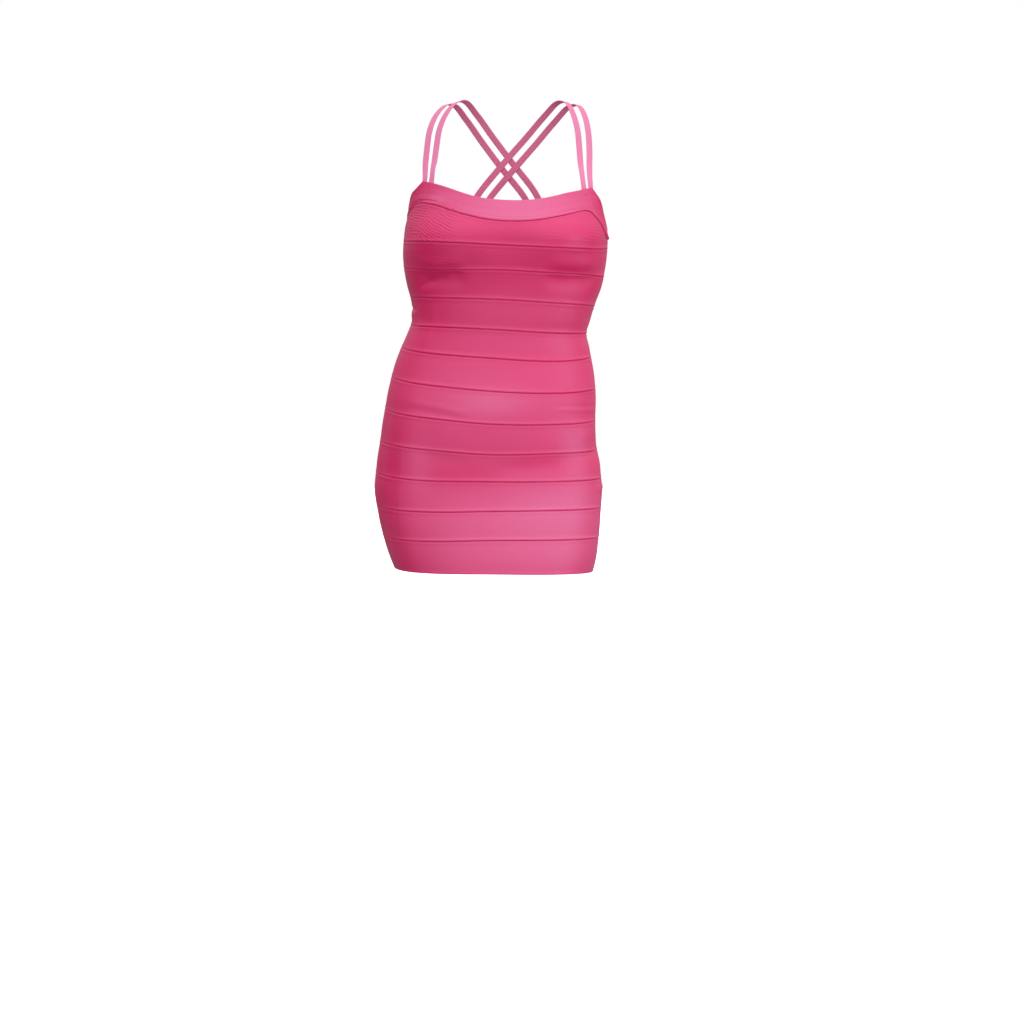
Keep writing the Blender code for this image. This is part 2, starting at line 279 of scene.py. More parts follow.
# A soft ridge, or a trough where rise is below 0, from one point of the figure to another. width is
# half the width of its profile, and bow lifts its middle
Crease = namedtuple("Crease", "from_angle from_height to_angle to_height width rise bow")
CREASES = (
    # under the cup at the wearer's right, and along the seam there
    Crease(-60, -259, -20, -258, 13.0, 2.9, -4),
    Crease(-62, -287, -22, -285, 13.0, -3.5, -4),
    Crease(-66, -303, -34, -284, 6.0, -1.5, 0),
    Crease(-61, -299.5, -44, -288, 2.4, -0.8, 0),
    Crease(-48, -278, -26, -279, 5.0, -0.9, 0),
    Crease(40, -281, 66, -287, 6.0, -0.8, -2),
    # and under the other cup
    Crease(22, -259, 66, -261, 13.0, 3.1, -4),
    Crease(22, -287, 70, -291, 14.0, -3.9, -4),
    # beside the seam under the wearer's left arm
    Crease(76, -200, 79, -320, 3.4, -0.9, 0),
    # the waist at the wearer's right, a notch over a bulge
    Crease(-96, -333, -66, -338, 2.6, -1.7, 0),
    Crease(-99, -348, -66, -347, 7.0, 1.5, 2),
    Crease(-90, -366, -60, -362, 5.0, -0.8, 0),
    Crease(-50, -316, -53, -412, 12.0, 1.3, 0),
    # the waist at the wearer's left
    Crease(62, -352, 92, -344, 6.0, -1.0, 0),
    Crease(64, -278, 84, -284, 4.0, 0.7, 0),
    # over the belly
    Crease(-62, -484, -8, -509, 5.5, 0.8, 3),
    Crease(-58, -495, -14, -515, 4.5, -0.5, 2),
    Crease(36, -492, 78, -494, 4.0, -0.45, 0),
    Crease(38, -498, 84, -501, 3.2, 0.7, 0),
    Crease(56, -546, 86, -530, 12.0, 1.3, 0),
    Crease(58, -466, 84, -456, 8.0, 0.8, 0),
    # under the belly, towards the hip at the wearer's left
    Crease(-4, -596, 92, -562, 15.0, -2.3, -4),
    Crease(60, -572, 92, -566, 5.0, -0.8, 0),
    Crease(70, -628, 98, -628, 7.0, 1.3, 0),
    Crease(-52, -560, -10, -586, 12.0, -0.9, -3),
    # the front turns to the side along the hip at the wearer's right
    Crease(-50, -400, -54, -790, 19.0, 1.9, 0),
    Crease(-71, -420, -74, -790, 18.0, -1.8, 0),
    Crease(-56, -490, -59, -730, 9.0, 0.9, 0),
    # corners of the top band
    Crease(-75, -173.5, -44, -168.5, 1.9, -1.5, 7),
    Crease(30, -186.3, 58, -177, 1.8, -1.1, 2),
    # the back, over the waist and below the seat
    Crease(128, -352, 212, -362, 8.0, -1.3, -5),
    Crease(118, -384, 190, -396, 7.0, -1.1, -6),
    Crease(160, -372, 236, -390, 7.0, -0.9, -5),
    Crease(108, -414, 168, -436, 8.0, -0.8, -4),
    Crease(196, -430, 252, -412, 8.0, -0.8, -4),
    Crease(104, -640, 150, -702, 12.0, -1.1, -6),
    Crease(206, -704, 250, -640, 12.0, -1.1, -6),
    Crease(112, -236, 138, -262, 6.0, -0.7, 0),
    Crease(222, -260, 248, -232, 6.0, -0.7, 0),
)
CREASE_END = 0.3           # share of a crease over which each of its ends fades

# Patches of fine ripples. slope is their fall towards the wearer's left in degrees, and run about
# the length of a ripple before it breaks
Ripples = namedtuple("Ripples", "angle height angle_spread height_spread slope pitch rise run")
RIPPLES = (
    Ripples(-64, -198, 13, 38, 6, 4.2, 0.45, 13),
    Ripples(-43, -203, 13, 34, 24, 4.1, 0.47, 13),
    Ripples(-50, -206, 17, 34, 42, 3.7, 0.24, 9),
    Ripples(-60, -250, 13, 12, 9, 4.3, 0.24, 14),
    Ripples(-36, -256, 8, 8, 3, 4.6, 0.14, 14),
    Ripples(54, -220, 17, 20, 2, 4.8, 0.2, 22),
    Ripples(26, -222, 12, 9, 2, 4.8, 0.08, 22),
    Ripples(112, -244, 14, 18, -12, 4.6, 0.12, 14),
    Ripples(244, -236, 14, 18, 14, 4.6, 0.12, 14),
)
RIPPLE_BEND = 0.44         # how far the ripples bend, in pitches
RIPPLES_TOGETHER = 2.5     # how many of them bend alike
RIPPLE_STRENGTH = 0.6      # a ripple's share of its patch's rise: its middle, range and most
RIPPLE_RANGE = 0.7
RIPPLE_MOST = 1.2
RIPPLE_SPOT = 1.3          # height of a spot of like strength, in pitches
RIPPLE_SHIFT = 7           # keeps those spots apart from the bends
RIPPLE_SEED = 40
NOISE_CELLS = 64           # after which the noise repeats
PUCKER = 0.13              # uneven pull of the sewing beside a seam
PUCKER_PITCH = (5.0, 6.0)  # round the figure and up it
PUCKER_REACH = 4.5
PUCKER_OVER = 0.5          # share of the pull that is left over the seam
PUCKER_SEED = 3
WAVE = 0.28                # slow unevenness of the whole cloth
WAVE_PITCH = (64.0, 34.0)
WAVE_SEED = 5
UNDERARM = 86.0            # angle where the top band's lower roll stands out most
UNDERARM_SPREAD = 15.0
UNDERARM_SWELL = 1.4
ROLL_UNEVEN = 0.12         # how much a band's lower roll swells and thins, as a share
ROLL_PITCH = 9.0
ROLL_SHIFT = 1.7           # from one band's pattern to the next
ROLL_SEED = 11
# Where the rolls of the seams are pulled flat
FlatSide = namedtuple("FlatSide", "angle spread")
FLAT_SIDES = (FlatSide(-92, 37), FlatSide(92, 15))
FLAT_ROLL = 0.7            # share of a roll that goes there
FLAT_TUCK = 0.45           # and of the groove under it

# Patches of painted highlight, or of painted shade where share is below 0: the knit's colour is
# paler where light is painted on it and deeper where shade is painted
PaintedLight = namedtuple("PaintedLight", "angle height angle_spread height_spread share")
# painted highlight on the neckband, which faces up, and painted shade at its corners
NECK_PAINTED_LIGHT = (
    PaintedLight(10, -178, 45, 60, 0.76),
    PaintedLight(75, -190, 12, 60, -0.7),
    PaintedLight(-75, -165, 11, 60, -0.5),
    PaintedLight(-47, -161, 8, 9, 0.4),
)
# painted highlights on the belly, hips, skirt and seat; painted shade under the cups, the belly and
# over the bust, at the waist and flank on the wearer's right and at the back's waist
PAINTED_LIGHT_PATCHES = (
    PaintedLight(38, -695, 46, 85, 0.7),
    PaintedLight(46, -648, 30, 24, 0.25),
    PaintedLight(-25, -705, 36, 85, 0.28),
    PaintedLight(0, -487, 30, 24, 0.58),
    PaintedLight(60, -560, 10, 42, 0.5),
    PaintedLight(-46, -590, 9, 40, 0.4),
    PaintedLight(48, -585, 30, 14, -0.3),
    PaintedLight(-20, -600, 36, 24, -0.25),
    PaintedLight(-58, -360, 34, 60, -0.2),
    PaintedLight(50, -302, 24, 14, -0.2),
    PaintedLight(-40, -300, 24, 14, -0.15),
    PaintedLight(0, -258, 85, 46, -0.3),
    PaintedLight(-34, -214, 45, 22, -0.25),
    PaintedLight(30, -212, 40, 16, -0.1),
    PaintedLight(-80, -540, 24, 260, -0.3),
    PaintedLight(180, -620, 60, 70, 0.3),
    PaintedLight(180, -430, 60, 50, -0.1),
)
EVEN_PAINTED_LIGHT = 0.2         # share of painted highlight away from the patches
PAINTED_SHADE_DEPTH = 0.9           # painted shade: knit this far inside its outer face loses its painted highlight
PAINTED_LIGHT_LAYER = "painted_light"

# ------------------------------------------------ straps and sewing

STRAP_RIBS = 8             # lengthwise ribs of the knitted elastic
STRAP_RIB = 0.07           # half of their height
STRAP_RIB_POINTS = 4       # points across one rib
STRAP_INNER_POINTS = 7     # and across the inner side
STRAP_ROUND = 0.35         # rounding of its edges
STRAP_STEP = 2.2
STRAP_EASE = 3             # stations over which a strap's edges are evened

STITCH_LENGTH = 2.3
STITCH_PITCH = 3.2
STITCH_SINK = 0.25         # how far a stitch's ends go into the cloth
STITCH_LIFT = 0.3          # how far its middle lies over it, in diameters
STITCH_TIP = 1.05          # above 1, so that its ends keep some thickness
STITCH_STATIONS = np.array((-1.0, -0.72, -0.3, 0.3, 0.72, 1.0))
STITCH_SIDES = 5
THREAD = 0.42              # diameter of the thread
ROW_DROPS = (1.7, 6.2)     # of the twin rows under the armhole edges
ROW_START = 0.5            # length before the first stitch of a row
ROW_CLEAR = 1              # angle that the rows keep from the corners of the neckline
ROW_ANGLE_STEP = 0.25      # between the points that a row follows
SEWN_ROW_STEP = 1.0        # row step of the cloth on which the stitches are placed
TACK_DROP = 9.0            # of the zigzags that hold a strap's end
TACK_PITCH = 1.15
TACK_HEIGHT = 1.9
TACK_WIDTH = 8.0

# ------------------------------------------------ materials

# Colours, as linear values
KNIT_LIGHT = (0.875, 0.004, 0.136, 1.0)
KNIT_DARK = (0.77, 0.002, 0.104, 1.0)
# painted highlight: the paler colour mixed into the knit where light is painted on it
KNIT_PAINTED_HIGHLIGHT = (0.875, 0.105, 0.275, 1.0)
ELASTIC_LIGHT = (0.88, 0.265, 0.485, 1.0)
ELASTIC_DARK = (0.80, 0.185, 0.38, 1.0)
WHITE = (1.0, 1.0, 1.0, 1.0)
LIGHT_SHARE = 0.6          # of the light colour in the middle of a pattern

KNIT_SURFACE = {
    "Roughness": 0.5,
    "IOR": 1.56,
    "Specular IOR Level": 1.0,
    "Specular Tint": (0.3, 0.72, 1.0, 1.0),
    "Sheen Weight": 0.03,
    "Sheen Roughness": 0.4,
    "Sheen Tint": (1.0, 0.6, 0.85, 1.0),
}
COURSE_PITCH = 0.00125     # of the knit's rows, up a band
WALE_PITCH = 0.001         # and of its stitches, along it
COURSE_LEAN = 0.18         # how far the stitches sway from row to row, in pitches
COURSE_RISE = 0.6          # shares of the relief
WALE_RISE = 0.3
STREAK_SCALE = (14.0, 420.0, 1.0)   # streaks of the yarn in a metre, along a band and up it
STREAK_DETAIL = 2.0
STREAK_MIDDLE = 0.5
STREAK_RISE = 1.6
KNIT_SHADE = 0.16          # how much the relief and the streaks change the colour
STREAK_SHADE = 0.9
KNIT_DEPTH = 0.00006

ELASTIC_SURFACE = {
    "Roughness": 0.72,
    "Specular IOR Level": 0.3,
    "Sheen Weight": 0.15,
    "Sheen Roughness": 0.5,
    "Sheen Tint": (1.0, 0.75, 0.88, 1.0),
}
ELASTIC_PITCH = (0.0011, 0.0012)   # of its stitches, along a strap and across it
ELASTIC_SHADE = 0.35
ELASTIC_DEPTH = 0.00005

THREAD_SURFACE = {"Roughness": 0.45}
TWIST_PITCH = 0.0004
TWIST_SHADE = 0.4

# Sockets of a Mix node that mixes colours: its share, the two colours and the result
MIX_INPUTS = (0, 6, 7)
MIX_RESULT = 2

# ------------------------------------------------ studio

VIEW_CENTRE = Vector((0.0, 0.0, -0.67015))   # point in the middle of the picture
VIEW_ELEVATION = radians(4.0)
VIEW_DISTANCE = 4.5
PIXEL_AT_DRESS = 0.00165   # size that a pixel covers there
PICTURE = 1024             # pixels across the picture
SENSOR = 36.0              # width in millimetres, as the lens is

Light = namedtuple("Light", "name place energy")
LIGHTS = (
    Light("side", (2.6, -0.95, -0.45), 14.5),
    Light("top", (0, -0.72, 2.25), 3),
)
LIGHT_AIM = Vector((0, 0, -0.45))
LIGHT_SIZE = 1.2

# Soft light all round: its strength from ahead, behind, above and the wearer's left
Glow = namedtuple("Glow", "axis sign strength")
GLOWS = (
    Glow("Y", -1, 0.81),
    Glow("Y", 1, 0.32),
    Glow("Z", 1, 1.22),
    Glow("X", 1, 0.14),
)
FLOOR_HEIGHT = -1.484
FLOOR_RADIUS = 14.0
FLOOR_CORNERS = 96
FLOOR_SURFACE = {
    "Base Color": (0.9, 0.9, 0.9, 1.0),
    "Roughness": 0.9,
    "Emission Color": WHITE,
    "Emission Strength": 0.75,
}


# ------------------------------------------------ the figure, as in the part's source


def smooth(knots, values, places):
    """Values at places on the smooth curve through values at rising knots."""
    knots = np.asarray(knots, float)
    values = np.asarray(values, float)
    spans = np.diff(knots)
    rises = np.diff(values) / spans
    middle = (rises[:-1] * spans[1:] + rises[1:] * spans[:-1]) / (spans[:-1] + spans[1:])
    slopes = np.concatenate((rises[:1], middle, rises[-1:]))
    places = np.clip(places, knots[0], knots[-1])
    low = np.clip(np.searchsorted(knots, places, side="right") - 1, 0, len(spans) - 1)
    span = spans[low]
    t = (places - knots[low]) / span
    return (
        (2 * t**3 - 3 * t**2 + 1) * values[low]
        + (t**3 - 2 * t**2 + t) * span * slopes[low]
        + (3 * t**2 - 2 * t**3) * values[low + 1]
        + (t**3 - t**2) * span * slopes[low + 1]
    )


def column(table, name):
    """One named column of a table."""
    return [getattr(row, name) for row in table]


SECTION_HEIGHTS = column(SECTIONS, "height")
SECTION_SIZES = {name: column(SECTIONS, name) for name in ("centre", "half_width", "front", "back")}


def wrap(angle):
    """The same angle between -180 and 180."""
    return (np.asarray(angle, float) + 180.0) % 360.0 - 180.0


def on_figure(angle, height):
    """Points on the inside of the cloth, x, y and z along the last axis, in millimetres."""
    angle, height = np.broadcast_arrays(np.asarray(angle, float), np.asarray(height, float))
    size = {name: smooth(SECTION_HEIGHTS, SECTION_SIZES[name], height) for name in SECTION_SIZES}
    side = np.sin(np.radians(angle))
    ahead = np.cos(np.radians(angle))
    depth = np.where(ahead > 0, size["front"], size["back"])
    terms = np.abs(side / size["half_width"]) ** ROUNDNESS + np.abs(ahead / depth) ** ROUNDNESS
    radius = terms ** (-1 / ROUNDNESS)
    above_cup = (height - CUP_HEIGHT) / CUP_HEIGHT_SPREAD
    for cup_angle in (-CUP_ANGLE, CUP_ANGLE):
        from_cup = wrap(angle - cup_angle) / CUP_ANGLE_SPREAD
        radius = radius + CUP_RISE * np.exp(-(from_cup**2) - above_cup**2)
    return np.stack((size["centre"] + radius * side, -radius * ahead, height), axis=-1)


def unit(vectors):
    """Vectors of length 1 along the last axis."""
    return vectors / np.linalg.norm(vectors, axis=-1, keepdims=True)


def out_of_figure(angle, height):
    """Unit vectors out of the cloth."""
    along = on_figure(angle + NEAR_ANGLE, height) - on_figure(angle - NEAR_ANGLE, height)
    up = on_figure(angle, height + NEAR_HEIGHT) - on_figure(angle, height - NEAR_HEIGHT)
    return unit(np.cross(along, up))


def level_at(table, angle):
    """Height on a table of levels."""
    return smooth(column(table, "angle"), column(table, "height"), wrap(angle))


def top_edge(angle):
    """Height of the top band's upper edge."""
    angle = wrap(angle)
    heights = level_at(NECKLINE, angle)
    heights = np.where(angle < NECKLINE[0].angle, level_at(RIGHT_ARMHOLE, angle), heights)
    return np.where(angle > NECKLINE[-1].angle, level_at(LEFT_ARMHOLE, angle), heights)


def seam_height(seam, angle):
    """Height of a seam between two bands."""
    knots = [-270, -180] + list(SEAM_ANGLES) + [270]
    values = [seam.left_side, seam.centre_back] + list(seam) + [seam.right_side]
    return smooth(knots, values, wrap(angle))


def edge_heights(band, angle):
    """Heights of the seams under and over a band; band 0 is the top band."""
    if band == 0:
        return level_at(TOP_BAND_SEAM, angle), top_edge(angle)
    over = level_at(TOP_BAND_SEAM, angle) if band == 1 else seam_height(SEAMS[band - 2], angle)
    return seam_height(SEAMS[band - 1], angle), over


def lengths_along(points):
    """Length from the first of a row of points to each of them."""
    steps = np.linalg.norm(np.diff(points, axis=0), axis=1)
    return np.concatenate(([0], np.cumsum(steps)))


# ------------------------------------------------ how the cloth is moved


def ease(t):
    """A smooth step from 0 to 1."""
    return t * t * (3 - 2 * t)


def hump(share):
    """0 at both ends and 1 in the middle."""
    return 4 * share * (1 - share)


def window(distance):
    """1 in the middle, falling to 0 past a distance of 1 either way."""
    return np.exp(-(distance**4))


def noise(across, up, seed):
    """Smooth values between -1 and 1 over cells of size 1, the same on each run."""
    table = np.random.default_rng(seed).uniform(-1, 1, (NOISE_CELLS, NOISE_CELLS))
    across, up = np.broadcast_arrays(across, up)
    left = np.floor(across).astype(int)
    below = np.floor(up).astype(int)
    t = ease(across - left)
    u = ease(up - below)

    def corner(right, above):
        return table[(below + above) % NOISE_CELLS, (left + right) % NOISE_CELLS]

    lower = corner(0, 0) * (1 - t) + corner(1, 0) * t
    upper = corner(0, 1) * (1 - t) + corner(1, 1) * t
    return lower * (1 - u) + upper * u


def crease_rise(crease, angle, height):
    """How far one crease moves the cloth."""
    run = (crease.to_angle - crease.from_angle) * ARC
    climb = crease.to_height - crease.from_height
    length = np.hypot(run, climb)
    over = wrap(angle - crease.from_angle) * ARC
    up = height - crease.from_height
    share = np.clip((over * run + up * climb) / length**2, 0, 1)
    across = (up * run - over * climb) / length - crease.bow * hump(share)
    fade = ease(np.minimum(np.minimum(share, 1 - share) / CREASE_END, 1))
    return crease.rise * fade * np.exp(-((across / crease.width) ** 2))


def ripple_rise(patch, seed, angle, height):
    """How far one patch of ripples moves the cloth."""
    over = wrap(angle - patch.angle) * ARC
    up = height - patch.height
    inside = window(over / (patch.angle_spread * ARC)) * window(up / patch.height_spread)
    slope = radians(patch.slope)
    along = (over * cos(slope) - up * sin(slope)) / patch.run
    across = (up * cos(slope) + over * sin(slope)) / patch.pitch
    bend = noise(along, across / RIPPLES_TOGETHER, seed)
    spots = noise(along + RIPPLE_SHIFT, across / RIPPLE_SPOT, seed + 1)
    strength = np.clip(RIPPLE_STRENGTH + RIPPLE_RANGE * spots, 0, RIPPLE_MOST)
    return patch.rise * inside * strength * np.sin(2 * pi * (across + RIPPLE_BEND * bend))


def relief(angle, height, low, high):
    """How far the cloth of a band stands out of the figure's form, in millimetres."""
    rise = np.zeros(np.broadcast(angle, height).shape)
    for crease in CREASES:
        rise += crease_rise(crease, angle, height)
    for number, patch in enumerate(RIPPLES):
        rise += ripple_rise(patch, RIPPLE_SEED + 2 * number, angle, height)
    arc = wrap(angle) * ARC
    under = np.exp(-(((high - height) / PUCKER_REACH) ** 2))
    over = np.exp(-(((height - low - PUCKER_REACH) / PUCKER_REACH) ** 2))
    pull = noise(arc / PUCKER_PITCH[0], height / PUCKER_PITCH[1], PUCKER_SEED)
    rise += PUCKER * (under + PUCKER_OVER * over) * pull
    rise += WAVE * noise(arc / WAVE_PITCH[0], height / WAVE_PITCH[1], WAVE_SEED)
    return rise


def painted_light_share(band, angle, height, outs):
    """Share of painted highlight on a band's knit, 0 to 1; outs are distances from its inside."""
    share = np.full(np.shape(height), EVEN_PAINTED_LIGHT)
    for patch in PAINTED_LIGHT_PATCHES if band else NECK_PAINTED_LIGHT:
        over = wrap(angle - patch.angle) / patch.angle_spread
        up = (height - patch.height) / patch.height_spread
        share = share + patch.share * np.exp(-(over**2) - up**2)
    # painted shade: the painted highlight fades out in folds and seam grooves
    shaded_knit = np.clip((WALL - outs) / PAINTED_SHADE_DEPTH, 0, 1)
    return np.clip(share, 0, 1) * (1 - shaded_knit)


# ------------------------------------------------ meshes


def make_mesh(name, points, quads, caps, uvs, material):
    """A smooth mesh object from points in millimetres, faces of four corners and end caps."""
    sizes = [4] * (quads.size // 4) + [len(cap) for cap in caps]
    corners = np.concatenate([quads.ravel(), *caps]).astype(np.int32)
    starts = np.concatenate(([0], np.cumsum(sizes)[:-1])).astype(np.int32)
    mesh = bpy.data.meshes.new(name)
    mesh.vertices.add(points.size // 3)
    mesh.vertices.foreach_set("co", (points * MM).astype(np.float32).ravel())
    mesh.loops.add(len(corners))
    mesh.loops.foreach_set("vertex_index", corners)
    mesh.polygons.add(len(sizes))
    mesh.polygons.foreach_set("loop_start", starts)
    mesh.update(calc_edges=True)
    layer = mesh.uv_layers.new(name="UVMap")
    layer.data.foreach_set("uv", (uvs.reshape(-1, 2)[corners] * MM).astype(np.float32).ravel())
    mesh.validate()
    mesh.shade_smooth()
    mesh.set_sharp_from_angle(angle=SHARP_ANGLE)
    mesh.materials.append(material)
    piece = bpy.data.objects.new(name, mesh)
    bpy.context.scene.collection.objects.link(piece)
    return piece


def make_tube(name, points, uvs, material):
    """A closed body of points[row][column]: the rows go round its section, the columns along it."""
    rows, columns = points.shape[:2]
    here = np.arange(rows * columns).reshape(rows, columns)
    above = np.roll(here, -1, axis=0)
    quads = np.stack((here[:, :-1], here[:, 1:], above[:, 1:], above[:, :-1]), axis=-1)
    return make_mesh(name, points, quads, (here[:, 0], here[::-1, -1]), uvs, material)


def column_angles(start, end, step):
    """Angles of a panel's columns, closer beside its side seams and one at each neckline corner."""
    corners = [edge.angle for edge in (NECKLINE[0], NECKLINE[-1]) if start < edge.angle < end]
    beside = [distance / ARC for distance in SIDE_COLUMNS]
    stops = [start + beside[-1]] + corners + [end - beside[-1]]
    angles = [start] + [start + distance for distance in beside]
    for here, there in zip(stops, stops[1:]):
        count = max(round((there - here) * ARC / step), 1)
        angles += [here + (there - here) * i / count for i in range(1, count + 1)]
    angles += [end - distance for distance in beside[-2::-1]] + [end]
    return np.array(angles)


def flatness(angle):
    """How flat the seams are pulled, from 0 to 1."""
    return sum(window(wrap(angle - side.angle) / side.spread) for side in FLAT_SIDES)


def lip_gain(band, angle):
    """How far a band's lower roll stands out, as a share of its table."""
    if band == 0:
        return 1 + UNDERARM_SWELL * window(wrap(angle - UNDERARM) / UNDERARM_SPREAD)
    uneven = noise(wrap(angle) * ARC / ROLL_PITCH, band * ROLL_SHIFT, ROLL_SEED)
    return 1 + ROLL_UNEVEN * uneven - FLAT_ROLL * flatness(angle)


def section_rows(band, angle, row_step):
    """Heights and outward distances of a band's closed section at each angle."""
    low, high = edge_heights(band, angle)
    lower = {0: NECK_LIP, HEM: HEM_EDGE}.get(band, LIP)
    upper = TUCK if band else TOP_EDGE
    crown = CROWN if band else NECK_CROWN
    room = lower[-1].rise + upper[0].rise + PLAIN_ROOM
    squeeze = np.minimum(1.0, (high - low) / room)
    heights = []
    outs = []

    def squeezed(rise):
        return rise * squeeze if rise > 0 else rise

    def add(height, out):
        heights.append(height)
        outs.append(np.broadcast_to(out, np.shape(angle)))

    thicker = lip_gain(band, angle)
    for fold in lower:
        proud = max(fold.out - WALL, 0.0) * thicker
        add(low + squeezed(fold.rise), min(fold.out, WALL) + proud)
    first = low + lower[-1].rise * squeeze
    last = high - upper[0].rise * squeeze
    count = max(int(np.ceil((last - first).max() / row_step)), 2)
    for i in range(1, count):
        share = i / count
        add(first + (last - first) * share, WALL + crown * hump(share) * squeeze)
    for fold in upper:
        filled = FLAT_TUCK * flatness(angle) if band and fold.rise > 0 and fold.out > 0 else 0.0
        add(high - squeezed(fold.rise), fold.out + max(WALL - fold.out, 0.0) * filled)
    first = high - upper[-1].rise * squeeze
    last = low + lower[0].rise * squeeze
    count = max(int(np.ceil((first - last).max() / INNER_STEP)), 2)
    for i in range(1, count):
        add(first + (last - first) * i / count, 0.0)
    return np.array(heights), np.array(outs)


def make_panel(band, side, weave, material):
    """A front or back panel of one band."""
    name = f"band_{band:02d}" if band else "top_band"
    gap = HUG / ARC
    if side == "front":
        angle = column_angles(RIGHT_SEAM + gap, LEFT_SEAM - gap, weave.column_step)
    else:
        angle = column_angles(LEFT_SEAM + gap, RIGHT_SEAM + 360 - gap, weave.column_step)
    heights, outs = section_rows(band, angle, weave.row_step)
    angles = np.broadcast_to(angle, heights.shape)
    low, high = edge_heights(band, angle)
    from_end = np.minimum(angle - angle[0], angle[-1] - angle) * ARC
    dip = SIDE_DIP * np.exp(-((from_end / SIDE_DIP_WIDTH) ** 2)) * np.clip(outs / WALL, 0, 1)
    raised = outs - dip + relief(angles, heights, low, high)
    points = on_figure(angles, heights) + out_of_figure(angles, heights) * raised[..., None]
    arc = lengths_along(on_figure(angle, np.mean(heights, axis=0)))
    up = (heights - low) / (high - low) * np.mean(high - low)
    uvs = np.stack((np.broadcast_to(arc, heights.shape), up), axis=-1)
    panel = make_tube(f"{name}_{side}_knit", points, uvs, material)
    # painted highlight and painted shade, kept on the points for the knit's colour
    shares = painted_light_share(band, angles, heights, outs).astype(np.float32)
    layer = panel.data.attributes.new(PAINTED_LIGHT_LAYER, "FLOAT", "POINT")
    layer.data.foreach_set("value", shares.ravel())
    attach(panel, BODY)
    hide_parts(f"{name}_{side}")


# ------------------------------------------------ straps


def angles_of(points):
    """Angles round the figure at which points lie."""
    centre = smooth(SECTION_HEIGHTS, SECTION_SIZES["centre"], points[:, 2])
    return np.degrees(np.arctan2(points[:, 0] - centre, -points[:, 1]))


def behind_band(angle, height):
    """Inner side of a strap that lies against the inside of the top band, and the way out."""
    out = out_of_figure(angle, height)
    return on_figure(angle, height) - out * (SEAT_GAP + STRAP_WALL), out


def kept_inside(points):
    """A strap's points, moved against the top band where it covers them or is close below them."""
    angle = angles_of(points)
    edge = top_edge(angle)
    seat, out = behind_band(angle, points[:, 2])
    proud = np.sum((points - seat) * out, axis=1)
    near = points[:, 2] <= edge + BAND_REACH
    moved = near & ((points[:, 2] < edge) | (proud > 0))
    return np.where(moved[:, None], seat, points)


def evened(rows):
    """Each row of an array, averaged with its neighbours."""
    padded = np.pad(rows, ((STRAP_EASE, STRAP_EASE), (0, 0)), mode="reflect", reflect_type="odd")
    count = 2 * STRAP_EASE + 1
    return sum(padded[i : i + len(rows)] for i in range(count)) / count


def strap_stations(side, lift):
    """Knots of the middle of a pair of straps: places, outward directions and spreads."""
    front = LEFT_POINT if side > 0 else RIGHT_POINT
    front_edge = top_edge(front)
    back_edge = top_edge(-side * BACK_POINT)
    ends = [behind_band(front, front_edge - STRAP_TUCK * share) for share in (1.0, 0.5, 0.0)]
    spreads = [FRONT_SPREAD] * len(ends)
    for knot in STRAP_ROUTE:
        out = unit(np.array((side * knot.out_arm, knot.out_depth, knot.out_height)))
        across = knot.left_pair if side > 0 else knot.right_pair
        raised = lift if knot.depth > 0 else 0.0
        ends.append((np.array((across, knot.depth, knot.height)) + out * raised, out))
        spreads.append(knot.left_spread if side > 0 else knot.right_spread)
    for share in (0.0, 0.5, 1.0):
        angle = -side * (BACK_POINT + (BACK_END - BACK_POINT) * share)
        ends.append(behind_band(angle, back_edge - STRAP_TUCK * share))
        spreads.append(BACK_SPREAD)
    places, outs = (np.array(values) for values in zip(*ends))
    return places, outs, np.array(spreads)


def ribbon_section():
    """The closed section of a strap: shares across its width and distances out of its inside."""
    half = STRAP_WIDTH / 2 - STRAP_ROUND
    across = np.linspace(-half, half, STRAP_RIBS * STRAP_RIB_POINTS + 1)
    ribs = STRAP_RIBS * (across / half + 1) / 2
    out = STRAP_WALL - STRAP_RIB * (1 + np.cos(2 * pi * ribs))
    inner = np.linspace(half, -half, STRAP_INNER_POINTS)
    across = np.concatenate((across, (half + STRAP_ROUND,) * 2, inner, (-half - STRAP_ROUND,) * 2))
    edge = (STRAP_WALL - STRAP_ROUND, STRAP_ROUND)
    out = np.concatenate((out, edge, np.zeros(len(inner)), edge[::-1]))
    return across / STRAP_WIDTH + 0.5, out


def make_strap(name, side, which, lift, material):
    """One ribbed elastic strap, from the front of the top band to its back.

    The angles where its two ends are sewn to the band are returned.
    """
    places, outs, spreads = strap_stations(side, lift)
    knots = lengths_along(places)
    stations = np.linspace(0, knots[-1], int(knots[-1] / STRAP_STEP))

    def at(values, where):
        return np.stack([smooth(knots, axis, where) for axis in values.T], axis=-1)

    before = at(places, np.maximum(stations - 1, 0))
    ahead = at(places, np.minimum(stations + 1, knots[-1])) - before
    across = unit(np.cross(ahead, at(outs, stations)))
    spread = smooth(knots, spreads, stations)[:, None]
    middle = at(places, stations) + across * side * which * spread / 2
    right = evened(kept_inside(middle + across * STRAP_WIDTH / 2))
    left = evened(kept_inside(middle - across * STRAP_WIDTH / 2))
    out = unit(np.cross(right - left, ahead))
    share, rise = ribbon_section()
    points = left + (right - left) * share[:, None, None] + out * rise[:, None, None]
    middle = (left + right) / 2
    arc = lengths_along(middle)
    uvs = np.stack(np.broadcast_arrays(arc, (share * STRAP_WIDTH)[:, None]), axis=-1)
    strap = make_tube(f"{name}_elastic", points, uvs, material)
    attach(strap, BODY)
    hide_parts(name)
    angle = angles_of(middle)
    sewn = round((STRAP_TUCK - TACK_DROP) / STRAP_STEP)
    return angle[sewn], angle[-1 - sewn]


# ------------------------------------------------ sewing


